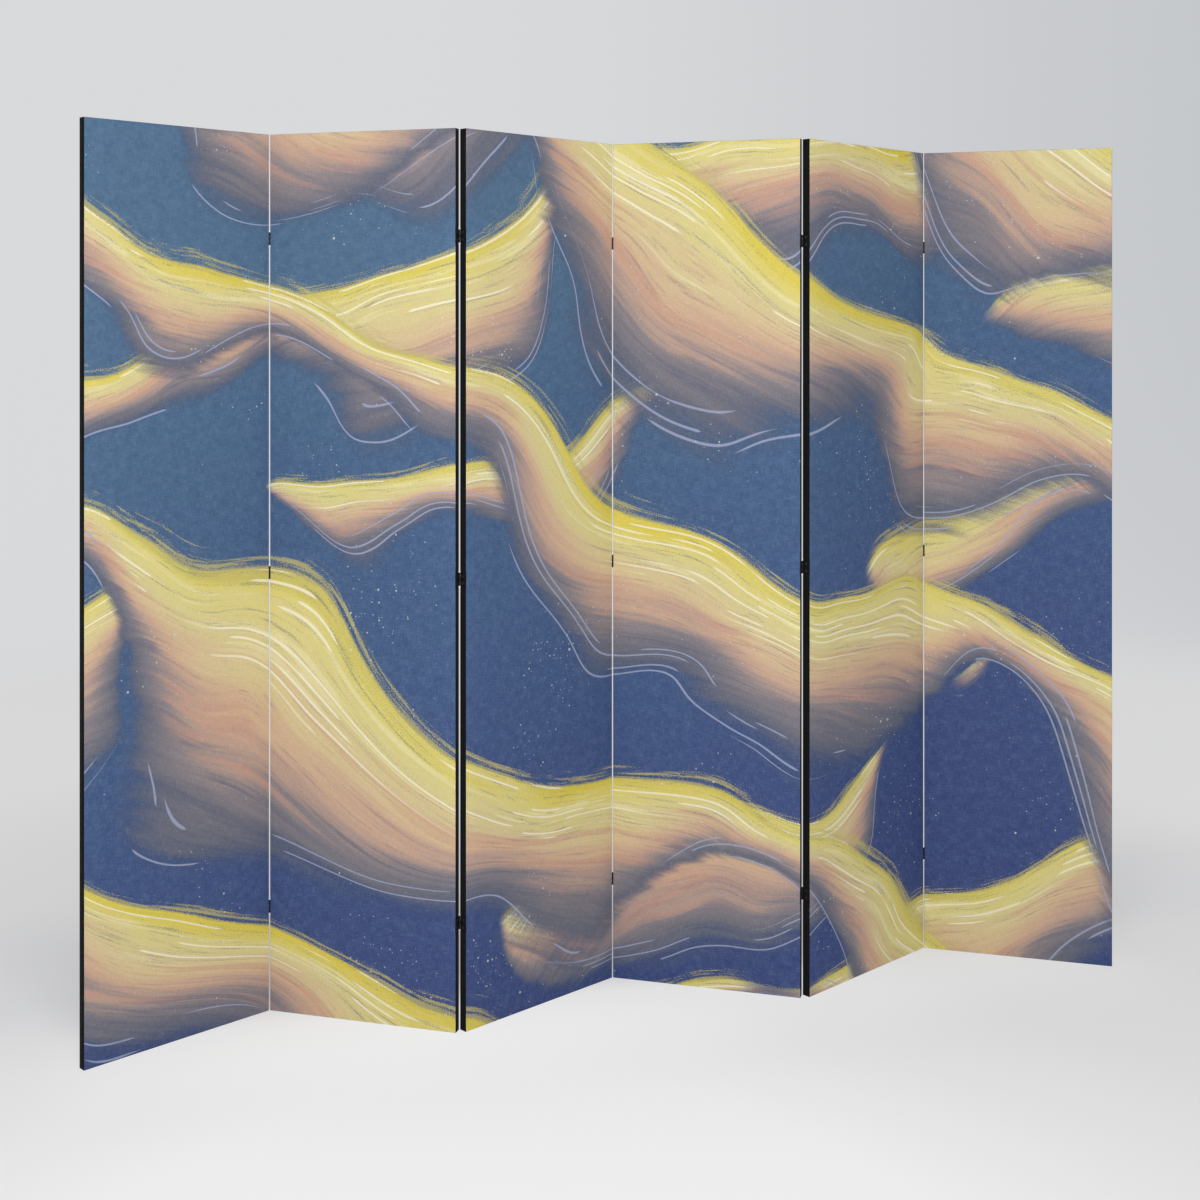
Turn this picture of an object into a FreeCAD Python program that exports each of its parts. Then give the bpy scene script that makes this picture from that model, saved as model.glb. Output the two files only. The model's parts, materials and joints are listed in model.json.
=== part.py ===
import FreeCAD, Part
import Sketcher
import os

# A folding screen of six tall panels that stands zig-zag on the floor.
# Each panel is a flat batten frame with a printed canvas stretched over its front and a black
# lining over its back and both long edges. Three small butt hinges join each panel to the next.
# X runs along the screen, Y from its front to its back and Z up. The origin is on the floor,
# under the middle of the screen as it stands. Lengths are millimetres, angles are degrees.

PANELS = 6
HINGES_PER_FOLD = 3
# The hinges are small and many, so their pins, bores and screw holes are drawn with this many
# flats, which keeps the whole screen light.
SMALL_FLATS = 10
# a sketch's constraint starts at this length and then takes its expression's
START_LENGTH = 1

# Driving sizes: alias, value, what it is
SIZES = [
    ("panel_width", 383.4, "panel over its lining"),
    ("panel_height", 1700, "panel over its canvas"),
    ("frame_thickness", 16.5, "batten thickness"),
    ("stile_width", 40, "upright batten across its face"),
    ("end_rail_width", 40, "top and bottom batten across its face"),
    ("mid_rail_width", 45, "middle batten across its face"),
    ("tenon_thickness", 6, "tenon from cheek to cheek"),
    ("tenon_shoulder", 7, "wood left above and below a tenon"),
    ("tenon_length", 26, "tenon beyond the rail's shoulder"),
    ("glue_line", 0.1, "room round a tenon"),
    ("mortise_spare", 1.5, "mortise beyond the tenon's end"),
    ("arris_bevel", 1.2, "bevel on the frame's outer front arris"),
    ("canvas_thickness", 0.5, "printed canvas"),
    ("lining_thickness", 0.5, "black lining"),
    ("turn_in", 25, "canvas turned over on to the frame's back"),
    ("turn_in_spare", 1, "rebate beyond the canvas's turned edge"),
    ("hinge_height", 25, "hinge along its pin"),
    ("hinge_inset", 202, "middle of an end hinge to the panel's end"),
    ("leaf_thickness", 0.8, "hinge leaf plate"),
    ("leaf_gap", 1.4, "space between the leaves of a closed hinge"),
    ("leaf_width", 14, "leaf from the pin's axis to its free edge"),
    ("leaf_corner", 1.5, "corner cut off a leaf's free edge"),
    ("axis_stand_off", 0.3, "pin's axis beyond the panel's face"),
    ("barrel_clearance", 0.15, "knuckle to the other panel's edge"),
    ("knuckle_gap", 0.3, "knuckle to knuckle along the pin"),
    ("knuckle_notch", 0.4, "leaf plate to the other leaf's knuckle"),
    ("pin_diameter", 1.2, "hinge pin"),
    ("pin_clearance", 0.05, "pin to knuckle all round"),
    ("screw_hole", 3, "screw hole through a leaf"),
    ("screw_spacing", 14, "screw to screw along a leaf"),
    ("screw_inset", 5, "screw to the leaf's free edge"),
    ("overrun", 1, "how far a cut runs past what it cuts"),
    ("rest_fold_angle", 60, "turn at each fold as the screen stands"),
]

doc = FreeCAD.newDocument("FoldingScreen")
sheet = doc.addObject("Spreadsheet::Sheet", "Sizes")
for row, (alias, value, meaning) in enumerate(SIZES, 1):
    sheet.set(f"A{row}", meaning)
    sheet.set(f"B{row}", str(value))
    sheet.setAlias(f"B{row}", alias)
doc.recompute()

# Lengths that follow from the driving sizes, as expressions.
# A panel's own frame has X along the panel from its middle, Y from its front face to its back,
# and Z up from mid-height.
HALF_WIDTH = "Sizes.panel_width / 2"
HALF_HEIGHT = "Sizes.panel_height / 2"
FRAME_SIDE = f"({HALF_WIDTH} - Sizes.lining_thickness)"
FRAME_END = f"({HALF_HEIGHT} - Sizes.canvas_thickness)"
FRAME_FRONT = "Sizes.canvas_thickness"
FRAME_BACK = f"({FRAME_FRONT} + Sizes.frame_thickness)"
FRAME_MIDDLE = f"({FRAME_FRONT} + Sizes.frame_thickness / 2)"
PANEL_BACK = f"({FRAME_BACK} + Sizes.lining_thickness)"
REBATE_FLOOR = f"({FRAME_BACK} - Sizes.canvas_thickness)"
REBATE_END = f"({FRAME_END} - Sizes.turn_in - Sizes.turn_in_spare)"
SHOULDER = f"({FRAME_SIDE} - Sizes.stile_width)"
END_RAIL_EDGE = f"({FRAME_END} - Sizes.end_rail_width)"
HALF_MID_RAIL = "Sizes.mid_rail_width / 2"
# A hinge's own frame has its origin on the pin's axis, X across the fold and Z up the pin.
HALF_FOLD_GAP = "(Sizes.leaf_gap / 2 + Sizes.leaf_thickness)"
BARREL_RADIUS = f"({HALF_FOLD_GAP} - Sizes.barrel_clearance)"
BORE_RADIUS = "(Sizes.pin_diameter / 2 + Sizes.pin_clearance)"
NOTCH = f"({BARREL_RADIUS} + Sizes.knuckle_notch)"
HALF_HINGE = "Sizes.hinge_height / 2"
HALF_MIDDLE_KNUCKLE = "((Sizes.hinge_height - 2 * Sizes.knuckle_gap) / 6)"
HINGE_SPAN = "(Sizes.panel_height - 2 * Sizes.hinge_inset)"

subparts = []


def size(alias):
    """A driving size read back from the sheet."""
    return float(sheet.get(alias))


def new_body(label):
    """A body whose label is also the name of its file."""
    body = doc.addObject("PartDesign::Body", label)
    body.Label = label
    subparts.append(body)
    return body


def origin_feature(body, role):
    """The body's own origin plane or axis of that role."""
    return next(feature for feature in body.Origin.OriginFeatures if feature.Role == role)


def new_sketch(body, plane, offset="0"):
    """A sketch on one of the body's origin planes, moved along the plane's normal."""
    sketch = body.newObject("Sketcher::SketchObject", f"{body.Name}_sketch")
    sketch.AttachmentSupport = (origin_feature(body, plane), [""])
    sketch.MapMode = "FlatFace"
    sketch.setExpression("AttachmentOffset.Base.z", offset)
    return sketch


def add_outline(sketch, corners):
    """A closed outline of straight lines through corners given as pairs of expressions."""
    count = len(corners)
    first = sketch.GeometryCount
    # a rough polygon first, which the constraints then pull into place
    rough = Part.Circle(FreeCAD.Vector(), FreeCAD.Vector(0, 0, 1), size("stile_width"))
    points = rough.toShape().discretize(Number=count + 1)
    for start, end in zip(points, points[1:]):
        sketch.addGeometry(Part.LineSegment(start, end), False)
    for index, (across, up) in enumerate(corners):
        following = first + (index + 1) % count
        sketch.addConstraint(Sketcher.Constraint("Coincident", first + index, 2, following, 1))
        for kind, expression in (("DistanceX", across), ("DistanceY", up)):
            held = Sketcher.Constraint(kind, -1, 1, first + index, 1, START_LENGTH)
            sketch.setExpression(f"Constraints[{sketch.addConstraint(held)}]", expression)


def add_rectangle(sketch, left, right, bottom, top):
    """A rectangle between four expressions."""
    add_outline(sketch, [(left, bottom), (right, bottom), (right, top), (left, top)])


def add_circle(sketch, radius):
    """A circle round the sketch's origin."""
    circle = Part.Circle(FreeCAD.Vector(), FreeCAD.Vector(0, 0, 1), size("pin_diameter"))
    geometry = sketch.addGeometry(circle, False)
    sketch.addConstraint(Sketcher.Constraint("Coincident", geometry, 3, -1, 1))
    constraint = sketch.addConstraint(Sketcher.Constraint("Radius", geometry, START_LENGTH))
    sketch.setExpression(f"Constraints[{constraint}]", radius)


def add_polygon(sketch, across, up, radius):
    """A small hole or pin as a regular outline of flats round a point given by expressions."""
    corners = []
    for index in range(SMALL_FLATS):
        angle = f"{360 * index / SMALL_FLATS} deg"
        corners.append((f"{across} + {radius} * cos({angle})", f"{up} + {radius} * sin({angle})"))
    add_outline(sketch, corners)


def pad(body, sketch, length):
    """Material on both sides of the sketch, of this length in all."""
    feature = body.newObject("PartDesign::Pad", f"{body.Name}_pad")
    feature.Profile = sketch
    feature.SideType = "Symmetric"
    feature.setExpression("Length", length)
    return feature


def pocket(body, sketch, depth):
    """A cut from the sketch against its plane's normal."""
    feature = body.newObject("PartDesign::Pocket", f"{body.Name}_pocket")
    feature.Profile = sketch
    feature.setExpression("Length", depth)
    return feature


def make_stile(label):
    """An upright batten with its two outer arrises bevelled, mortised for three rails and
    rebated across its back at both ends for the canvas's turned edges. Drawn as the left one."""
    body = new_body(label)
    outer = f"-{FRAME_SIDE}"
    eased_side = f"{outer} + Sizes.arris_bevel"
    eased_front = f"{FRAME_FRONT} + Sizes.arris_bevel"
    eased_back = f"{FRAME_BACK} - Sizes.arris_bevel"

    section = new_sketch(body, "XY_Plane")
    corners = [
        (eased_side, FRAME_FRONT),
        (f"-{SHOULDER}", FRAME_FRONT),
        (f"-{SHOULDER}", FRAME_BACK),
        (eased_side, FRAME_BACK),
        (outer, eased_back),
        (outer, eased_front),
    ]
    add_outline(section, corners)
    pad(body, section, f"2 * {FRAME_END}")

    mortises = new_sketch(body, "YZ_Plane", f"-{SHOULDER}")
    half_slot = "(Sizes.tenon_thickness / 2 + Sizes.glue_line)"
    cheeks = (f"{FRAME_MIDDLE} - {half_slot}", f"{FRAME_MIDDLE} + {half_slot}")
    shoulder = "(Sizes.tenon_shoulder - Sizes.glue_line)"
    add_rectangle(mortises, *cheeks, f"{END_RAIL_EDGE} + {shoulder}", f"{FRAME_END} - {shoulder}")
    add_rectangle(mortises, *cheeks, f"-{HALF_MID_RAIL} + {shoulder}", f"{HALF_MID_RAIL} - {shoulder}")
    add_rectangle(mortises, *cheeks, f"-{FRAME_END} + {shoulder}", f"-{END_RAIL_EDGE} - {shoulder}")
    pocket(body, mortises, "Sizes.tenon_length + Sizes.mortise_spare")

    rebates = new_sketch(body, "XZ_Plane", f"-{REBATE_FLOOR}")
    add_rectangle(rebates, outer, f"-{SHOULDER}", REBATE_END, FRAME_END)
    add_rectangle(rebates, outer, f"-{SHOULDER}", f"-{FRAME_END}", f"-{REBATE_END}")
    # the plane's normal points to the front, so the cut against it leaves through the back
    pocket(body, rebates, "Sizes.canvas_thickness")
    return body


def add_tenons(body, bottom, top):
    """One bar right through the rail that stands out of both its shoulders as tenons."""
    half = "Sizes.tenon_thickness / 2"
    section = new_sketch(body, "YZ_Plane")
    edges = (f"{bottom} + Sizes.tenon_shoulder", f"{top} - Sizes.tenon_shoulder")
    add_rectangle(section, f"{FRAME_MIDDLE} - {half}", f"{FRAME_MIDDLE} + {half}", *edges)
    pad(body, section, f"2 * ({SHOULDER} + Sizes.tenon_length)")


def make_end_rail(label):
    """The batten across an end of the frame, drawn as the top one: its outer front arris is
    bevelled and its back is rebated for the canvas's turned edge."""
    body = new_body(label)
    section = new_sketch(body, "YZ_Plane")
    corners = [
        (FRAME_FRONT, END_RAIL_EDGE),
        (FRAME_BACK, END_RAIL_EDGE),
        (FRAME_BACK, REBATE_END),
        (REBATE_FLOOR, REBATE_END),
        (REBATE_FLOOR, FRAME_END),
        (f"{FRAME_FRONT} + Sizes.arris_bevel", FRAME_END),
        (FRAME_FRONT, f"{FRAME_END} - Sizes.arris_bevel"),
    ]
    add_outline(section, corners)
    pad(body, section, f"2 * {SHOULDER}")
    add_tenons(body, END_RAIL_EDGE, FRAME_END)
    return body


def make_mid_rail(label):
    """The plain batten across the middle of the frame, which backs the middle hinges."""
    body = new_body(label)
    section = new_sketch(body, "YZ_Plane")
    add_rectangle(section, FRAME_FRONT, FRAME_BACK, f"-{HALF_MID_RAIL}", HALF_MID_RAIL)
    pad(body, section, f"2 * {SHOULDER}")
    add_tenons(body, f"-{HALF_MID_RAIL}", HALF_MID_RAIL)
    return body


def make_canvas(label):
    """The printed canvas: one sheet over the front, turned over both ends of the frame and
    down on to its back. Its turned parts lie between the lining's two sides."""
    body = new_body(label)
    turned = new_sketch(body, "YZ_Plane")
    flap_edge = f"({FRAME_END} - Sizes.turn_in)"
    corners = [
        ("0", f"-{HALF_HEIGHT}"),
        (FRAME_BACK, f"-{HALF_HEIGHT}"),
        (FRAME_BACK, f"-{flap_edge}"),
        (REBATE_FLOOR, f"-{flap_edge}"),
        (REBATE_FLOOR, f"-{FRAME_END}"),
        (FRAME_FRONT, f"-{FRAME_END}"),
        (FRAME_FRONT, FRAME_END),
        (REBATE_FLOOR, FRAME_END),
        (REBATE_FLOOR, flap_edge),
        (FRAME_BACK, flap_edge),
        (FRAME_BACK, HALF_HEIGHT),
        ("0", HALF_HEIGHT),
    ]
    add_outline(turned, corners)
    pad(body, turned, f"2 * {FRAME_SIDE}")
    front = new_sketch(body, "YZ_Plane")
    add_rectangle(front, "0", FRAME_FRONT, f"-{HALF_HEIGHT}", HALF_HEIGHT)
    pad(body, front, "Sizes.panel_width")
    return body


def make_lining(label):
    """The black lining: one sheet over the back, carried round both long edges to the canvas."""
    body = new_body(label)
    section = new_sketch(body, "XY_Plane")
    corners = [
        (f"-{HALF_WIDTH}", FRAME_FRONT),
        (f"-{FRAME_SIDE}", FRAME_FRONT),
        (f"-{FRAME_SIDE}", FRAME_BACK),
        (FRAME_SIDE, FRAME_BACK),
        (FRAME_SIDE, FRAME_FRONT),
        (HALF_WIDTH, FRAME_FRONT),
        (HALF_WIDTH, PANEL_BACK),
        (f"-{HALF_WIDTH}", PANEL_BACK),
    ]
    add_outline(section, corners)
    pad(body, section, "Sizes.panel_height")
    return body


def repeat_up_fold(body):
    """Repeats the lowest hinge's piece at every hinge of the fold."""
    pattern = body.newObject("PartDesign::LinearPattern", f"{body.Name}_pattern")
    pattern.TransformMode = "Whole shape"
    pattern.Direction = (origin_feature(body, "Z_Axis"), [""])
    pattern.setExpression("Length", HINGE_SPAN)
    pattern.Occurrences = HINGES_PER_FOLD
    body.Tip = pattern


def make_leaves(label, holds_pin):
    """The leaves of one panel at one fold: a plate whose edge is rolled into knuckles, with two
    screw holes. The leaf that holds the pin has the two end knuckles, the other has the
    middle one. Drawn with the plate on the negative side of the axis, at the lowest hinge."""
    body = new_body(label)
    plate = new_sketch(body, "YZ_Plane", f"-{HALF_FOLD_GAP} + Sizes.leaf_thickness / 2")
    tip = "Sizes.leaf_width"
    shoulder = f"({tip} - Sizes.leaf_corner)"
    corner = f"({HALF_HINGE} - Sizes.leaf_corner)"
    corners = [
        ("0", f"-{HALF_HINGE}"),
        (shoulder, f"-{HALF_HINGE}"),
        (tip, f"-{corner}"),
        (tip, corner),
        (shoulder, HALF_HINGE),
        ("0", HALF_HINGE),
    ]
    add_outline(plate, corners)
    hole_place = f"{tip} - Sizes.screw_inset"
    add_polygon(plate, hole_place, "Sizes.screw_spacing / 2", "Sizes.screw_hole / 2")
    add_polygon(plate, hole_place, "-Sizes.screw_spacing / 2", "Sizes.screw_hole / 2")
    pad(body, plate, "Sizes.leaf_thickness")

    barrel = new_sketch(body, "XY_Plane")
    add_circle(barrel, BARREL_RADIUS)
    # the bore's flats, not its corners, stand clear of the pin
    add_polygon(barrel, "0", "0", f"{BORE_RADIUS} / cos({180 / SMALL_FLATS} deg)")
    pad(body, barrel, "Sizes.hinge_height")

    other_knuckles = new_sketch(body, "YZ_Plane", BARREL_RADIUS)
    if holds_pin:
        inner_end = f"({HALF_MIDDLE_KNUCKLE} + Sizes.knuckle_gap)"
        add_rectangle(other_knuckles, f"-{NOTCH}", NOTCH, f"-{inner_end}", inner_end)
    else:
        past_end = f"({HALF_HINGE} + Sizes.overrun)"
        add_rectangle(other_knuckles, f"-{NOTCH}", NOTCH, HALF_MIDDLE_KNUCKLE, past_end)
        add_rectangle(other_knuckles, f"-{NOTCH}", NOTCH, f"-{past_end}", f"-{HALF_MIDDLE_KNUCKLE}")
    pocket(body, other_knuckles, f"{BARREL_RADIUS} + {HALF_FOLD_GAP} + Sizes.overrun")
    return body


def make_pins(label):
    """The pins of one fold, each as long as its hinge."""
    body = new_body(label)
    section = new_sketch(body, "XY_Plane")
    add_polygon(section, "0", "0", "Sizes.pin_diameter / 2")
    pad(body, section, "Sizes.hinge_height")
    return body


# Where the panels and the fold axes stand at rest
UP = FreeCAD.Vector(0, 0, 1)
half_turn_about_x = FreeCAD.Placement(FreeCAD.Vector(), FreeCAD.Rotation(FreeCAD.Vector(1, 0, 0), 180))
half_turn_about_y = FreeCAD.Placement(FreeCAD.Vector(), FreeCAD.Rotation(FreeCAD.Vector(0, 1, 0), 180))

panel_thickness = size("canvas_thickness") + size("frame_thickness") + size("lining_thickness")
half_pitch = size("panel_width") / 2 + size("leaf_gap") / 2 + size("leaf_thickness")


def moved(x, y, z=0):
    """A shift without a turn."""
    return FreeCAD.Placement(FreeCAD.Vector(x, y, z), FreeCAD.Rotation())


def turned(angle):
    """A turn about the upright axis."""
    return FreeCAD.Placement(FreeCAD.Vector(), FreeCAD.Rotation(UP, angle))


def is_valley(fold):
    """The first fold and every second one after it lie far from the viewer, so their axes
    are at the front faces. The folds between have their axes at the back faces."""
    return fold % 2 == 1


def axis_depth(fold):
    """How far behind the panels' front faces the fold's axis lies."""
    stand_off = size("axis_stand_off")
    return -stand_off if is_valley(fold) else panel_thickness + stand_off


def rest_places():
    """Each panel's placement, and each fold's placement square to the panel on either side,
    worked along the screen from its left end and then centred on the origin."""
    panel = turned(size("rest_fold_angle") / 2)
    panels = [panel]
    folds = []
    for fold in range(1, PANELS):
        before = panel * moved(half_pitch, axis_depth(fold))
        after = before * turned(-size("rest_fold_angle") if is_valley(fold) else size("rest_fold_angle"))
        panel = after * moved(half_pitch, -axis_depth(fold))
        folds.append((before, after))
        panels.append(panel)
    corners = []
    for place in panels:
        for x in (-size("panel_width") / 2, size("panel_width") / 2):
            for y in (0, panel_thickness):
                corners.append(place.multVec(FreeCAD.Vector(x, y, 0)))
    middle = []
    for values in ([corner.x for corner in corners], [corner.y for corner in corners]):
        middle.append((min(values) + max(values)) / 2)
    centre = moved(-middle[0], -middle[1], size("panel_height") / 2)
    return [centre * place for place in panels], [(centre * a, centre * b) for a, b in folds]


panel_places, fold_places = rest_places()
to_lowest_hinge = moved(0, 0, -(size("panel_height") / 2 - size("hinge_inset")))

for number, place in enumerate(panel_places, 1):
    name = f"panel_{number}"
    make_stile(f"{name}_left_stile").Placement = place
    # the same batten turned end over end
    make_stile(f"{name}_right_stile").Placement = place * half_turn_about_y
    make_end_rail(f"{name}_top_rail").Placement = place
    make_mid_rail(f"{name}_mid_rail").Placement = place
    make_end_rail(f"{name}_bottom_rail").Placement = place * half_turn_about_y
    make_canvas(f"{name}_canvas").Placement = place
    make_lining(f"{name}_lining").Placement = place

lowest_hinges = []
for number, (before, after) in enumerate(fold_places, 1):
    name = f"fold_{number}"
    into_panel = moved(0, 0) if is_valley(number) else half_turn_about_x
    left = before * into_panel * to_lowest_hinge
    right = after * into_panel * half_turn_about_y * to_lowest_hinge
    hinge = [make_leaves(f"{name}_left_leaves", True), make_pins(f"{name}_pins")]
    hinge.append(make_leaves(f"{name}_right_leaves", False))
    for body, placement in zip(hinge, (left, left, right)):
        body.Placement = placement
    lowest_hinges += hinge
    axis = before.Base
    print(f"{name} axis x {axis.x:.4f} y {axis.y:.4f}")

# a pattern reads its finished piece, so the pieces are worked out first
doc.recompute()
for body in lowest_hinges:
    repeat_up_fold(body)
doc.recompute()

for item in doc.Objects:
    if "Invalid" in item.State or "Error" in item.State:
        raise RuntimeError(f"{item.Label} did not recompute: {item.State}")
for body in subparts:
    if body.Shape.isNull() or not body.Shape.isValid():
        raise RuntimeError(f"{body.Label} has no valid shape")

os.makedirs("parts", exist_ok=True)
for body in subparts:
    body.Shape.exportStep(f"parts/{body.Label}.step")
print(f"{len(subparts)} sub-parts written")
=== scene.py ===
# %% [markdown]
# # A folding screen of six printed canvas panels
# The screen stands zig-zag on the floor. Each panel is a flat frame of battens with a printed
# canvas stretched over its front and black cloth over its back and long edges, and three small
# black hinges join it to the next. The exact solids come from the part's own source, and this
# lesson dresses them: it keeps the battens, makes the cloths and hinges anew with the roundings
# and weaves that a close look shows, and adds the screws and staples.

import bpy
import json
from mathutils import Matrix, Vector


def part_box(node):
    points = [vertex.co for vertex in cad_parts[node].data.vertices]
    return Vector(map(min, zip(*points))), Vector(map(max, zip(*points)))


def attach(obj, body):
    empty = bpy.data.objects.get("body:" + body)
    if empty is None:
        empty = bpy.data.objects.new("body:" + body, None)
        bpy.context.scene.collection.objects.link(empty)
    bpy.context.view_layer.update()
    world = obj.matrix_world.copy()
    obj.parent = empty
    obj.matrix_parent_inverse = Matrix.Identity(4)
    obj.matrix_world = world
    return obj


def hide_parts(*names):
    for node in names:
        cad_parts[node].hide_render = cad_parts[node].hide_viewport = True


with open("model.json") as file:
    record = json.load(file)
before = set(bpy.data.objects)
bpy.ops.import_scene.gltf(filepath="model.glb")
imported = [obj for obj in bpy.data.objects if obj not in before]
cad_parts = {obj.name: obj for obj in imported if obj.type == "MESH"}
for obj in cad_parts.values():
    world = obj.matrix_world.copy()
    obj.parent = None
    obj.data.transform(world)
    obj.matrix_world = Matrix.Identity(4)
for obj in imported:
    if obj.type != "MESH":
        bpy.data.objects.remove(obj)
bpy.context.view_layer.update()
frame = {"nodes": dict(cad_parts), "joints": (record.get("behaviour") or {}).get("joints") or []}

import json
import math
from types import SimpleNamespace

import bmesh
import bpy
from mathutils import Matrix, Vector

MM = 0.001
scene = bpy.context.scene
scene.view_settings.view_transform = "Standard"

# %% [markdown]
# ## Where each panel stands
# Every cloth is easiest to make lying square to the axes, in its panel's own frame: X along the
# panel, Y from its front to its back, Z up from mid-height. A matrix then stands it in its place.
# The matrix could be typed in, but reading it from the box of the panel's lining keeps the two
# models together, because a rectangle's box has the same middle however the rectangle is turned.

# %% Panel places
PANELS = 6
PANEL_WIDTH = 383.4 * MM
PANEL_HEIGHT = 1700 * MM
PANEL_BACK = 17.5 * MM
CLOTH = 0.5 * MM
FOLD_GAP = 3 * MM
PANEL_PITCH = PANEL_WIDTH + FOLD_GAP
REST_TURN = math.radians(30)


def turn_of(panel):
    """How far a panel is turned from the screen's line. Odd ones recede to the right."""
    return REST_TURN if panel % 2 else -REST_TURN


def place_of(panel):
    """The matrix from a panel's own frame to where it stands."""
    low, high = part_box(f"panel_{panel}_lining")
    turn = Matrix.Rotation(turn_of(panel), 4, "Z")
    to_middle = turn @ Vector((0, (CLOTH + PANEL_BACK) / 2, 0))
    return Matrix.Translation((low + high) / 2 - to_middle) @ turn


for panel in range(1, PANELS + 1):
    print("panel", panel, "stands at", [round(x, 4) for x in place_of(panel).translation])

# %% [markdown]
# ## The camera
# The picture was taken from chest height with a level camera, so upright edges stay parallel,
# and the screen sits low in the frame. Tilting the camera would move it in the frame too, but
# would make the edges converge, so the lens is shifted instead, as an architect's camera does.

# %% Camera
EYE = (-0.8470, -3.2150, 1.3096)
QUARTER_TURN = math.radians(90)
CAMERA_YAW = math.radians(-13.95)
FOCAL_LENGTH = 50.14
SHIFT_UP = -0.2202

camera = bpy.data.objects.new("camera", bpy.data.cameras.new("camera"))
scene.collection.objects.link(camera)
camera.location = EYE
camera.rotation_euler = (QUARTER_TURN, 0, CAMERA_YAW)
camera.data.lens = FOCAL_LENGTH
camera.data.shift_y = SHIFT_UP
scene.camera = camera
print("camera at", EYE, "with a lens of", FOCAL_LENGTH, "mm")

# %% [markdown]
# ## Finishes as node graphs
# A finish is a graph of small steps, and each step is one node. Making nodes by hand takes four
# lines each, so these classes keep the tree and offer one short call for every kind that the
# screen needs. A call's inputs may be plain numbers or the outputs of earlier calls. First come
# the sums, which know nothing of colour.


# %% A graph's sums
class Graph:
    """A node tree and short calls for sums in it."""

    def __init__(self, tree):
        self.tree = tree

    def give(self, socket, value):
        """Links an output to an input, or sets the input to a number or colour."""
        if isinstance(value, bpy.types.NodeSocket):
            self.tree.links.new(value, socket)
        else:
            socket.default_value = value

    def node(self, kind, inputs, **settings):
        """A new node of that kind, with its inputs given by name or number."""
        made = self.tree.nodes.new(f"ShaderNode{kind}")
        for name, value in settings.items():
            setattr(made, name, value)
        for key, value in inputs.items():
            self.give(made.inputs[key], value)
        return made

    def math(self, operation, first, second=0.0, third=0.0):
        return self.node("Math", {0: first, 1: second, 2: third}, operation=operation).outputs[0]

    def times(self, first, *others):
        """The product of all of them."""
        for other in others:
            first = self.math("MULTIPLY", first, other)
        return first

    def less(self, first, second):
        return self.math("SUBTRACT", first, second)

    def vector(self, operation, first, second):
        made = self.node("VectorMath", {0: first, 1: second}, operation=operation)
        return made.outputs["Value" if operation in ("DOT_PRODUCT", "DISTANCE", "LENGTH") else "Vector"]

    def join(self, x, y, z=0.0):
        return self.node("CombineXYZ", {"X": x, "Y": y, "Z": z}).outputs[0]

    def parts(self, place):
        """The X, Y and Z of a place."""
        return self.node("SeparateXYZ", {"Vector": place}).outputs


print("a graph can add, multiply and measure")

# %% [markdown]
# ### Colours
# A colour picked from a picture can't go straight into a shader, because pictures store their
# levels on a curve and shaders count in light. The colour could be typed in as light, but then
# nobody could compare it with the picture. So this function takes it as the picture shows it.


# %% Colours from a picture
def paint(red, green, blue):
    """A colour as a picture shows it, 0 to 255, in the linear values that shaders use."""
    linear = []
    for level in (red, green, blue):
        # the standard curve between the two, which is straight in the deepest shadows
        share = level / 255
        linear.append(share / 12.92 if share <= 0.04045 else ((share + 0.055) / 1.055) ** 2.4)
    return (*linear, 1)


print("a mid grey of 128 is", round(paint(128, 128, 128)[0], 3), "in light")

# %% [markdown]
# ### Places, patterns and mixing
# A finish adds where a point is and how patterns and colours are made of it. A pattern is placed
# on the object itself for wood and metal, because those are cut from one block. Cloth is placed
# by its own map, so that the weave and the print follow it round the frame's edges.


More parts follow.
